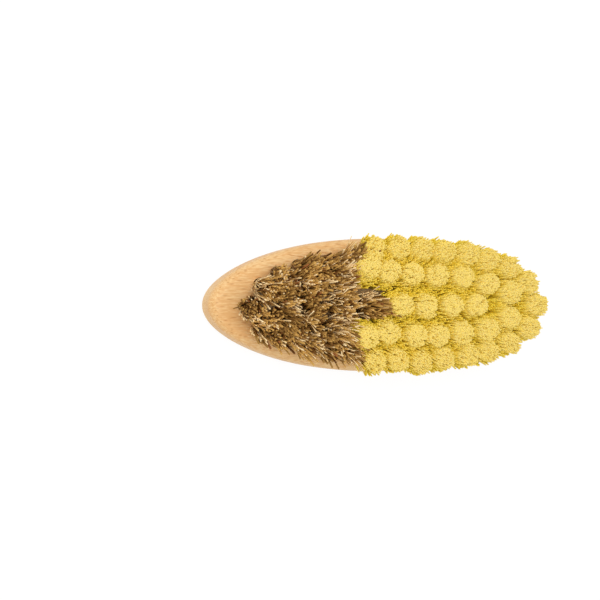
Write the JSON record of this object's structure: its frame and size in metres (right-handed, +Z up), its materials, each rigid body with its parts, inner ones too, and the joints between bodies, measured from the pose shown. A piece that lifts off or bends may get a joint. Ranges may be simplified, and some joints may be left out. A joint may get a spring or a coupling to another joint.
{
  "type": "vegetable brush",
  "caption": "Pointed-oval beech hand brush; rings of fibre tufts fan out of one face, stiff and dark at one end, soft and light at the other.",
  "frame": {"origin": "centre of the block's flat back, which is the middle of the bottom of the whole brush's box as it lies on its back", "axes": "+X along the block from the nose with the stiff tufts to the tail with the soft tufts, +Y across the block, +Z up out of the bristle face"},
  "size_m": [0.135, 0.051, 0.038],
  "materials": {
    "beech": "satin, oiled",
    "soft_fibre": "matt plant fibre, light yellow",
    "stiff_fibre": "matt plant fibre, dark and light brown mixed",
    "anchor_steel": "plain cut strip"
  },
  "bodies": {
    "root": {"soft_tuft_centre_04": "soft_fibre", "soft_tuft_centre_05": "soft_fibre", "soft_tuft_centre_06": "soft_fibre", "soft_tuft_centre_07": "soft_fibre", "soft_tuft_inner_left_04": "soft_fibre", "soft_tuft_inner_left_05": "soft_fibre", "soft_tuft_inner_left_06": "soft_fibre", "soft_tuft_inner_left_07": "soft_fibre", "soft_tuft_inner_left_08": "soft_fibre", "soft_tuft_inner_left_09": "soft_fibre", "soft_tuft_inner_left_10": "soft_fibre", "soft_tuft_inner_right_04": "soft_fibre", "soft_tuft_inner_right_05": "soft_fibre", "soft_tuft_inner_right_06": "soft_fibre", "soft_tuft_inner_right_07": "soft_fibre", "soft_tuft_inner_right_08": "soft_fibre", "soft_tuft_inner_right_09": "soft_fibre", "soft_tuft_inner_right_10": "soft_fibre", "soft_tuft_outer_left_06": "soft_fibre", "soft_tuft_outer_left_07": "soft_fibre", "soft_tuft_outer_left_08": "soft_fibre", "soft_tuft_outer_left_09": "soft_fibre", "soft_tuft_outer_left_10": "soft_fibre", "soft_tuft_outer_left_11": "soft_fibre", "soft_tuft_outer_left_12": "soft_fibre", "soft_tuft_outer_left_13": "soft_fibre", "soft_tuft_outer_right_06": "soft_fibre", "soft_tuft_outer_right_07": "soft_fibre", "soft_tuft_outer_right_08": "soft_fibre", "soft_tuft_outer_right_09": "soft_fibre", "soft_tuft_outer_right_10": "soft_fibre", "soft_tuft_outer_right_11": "soft_fibre", "soft_tuft_outer_right_12": "soft_fibre", "soft_tuft_outer_right_13": "soft_fibre", "soft_tuft_tail": "soft_fibre", "stiff_tuft_centre_01": "stiff_fibre", "stiff_tuft_centre_02": "stiff_fibre", "stiff_tuft_centre_03": "stiff_fibre", "stiff_tuft_inner_left_01": "stiff_fibre", "stiff_tuft_inner_left_02": "stiff_fibre", "stiff_tuft_inner_left_03": "stiff_fibre", "stiff_tuft_inner_right_01": "stiff_fibre", "stiff_tuft_inner_right_02": "stiff_fibre", "stiff_tuft_inner_right_03": "stiff_fibre", "stiff_tuft_nose": "stiff_fibre", "stiff_tuft_outer_left_01": "stiff_fibre", "stiff_tuft_outer_left_02": "stiff_fibre", "stiff_tuft_outer_left_03": "stiff_fibre", "stiff_tuft_outer_left_04": "stiff_fibre", "stiff_tuft_outer_left_05": "stiff_fibre", "stiff_tuft_outer_right_01": "stiff_fibre", "stiff_tuft_outer_right_02": "stiff_fibre", "stiff_tuft_outer_right_03": "stiff_fibre", "stiff_tuft_outer_right_04": "stiff_fibre", "stiff_tuft_outer_right_05": "stiff_fibre", "tuft_anchors": "anchor_steel", "wooden_block": "beech"}
  },
  "joints": []
}
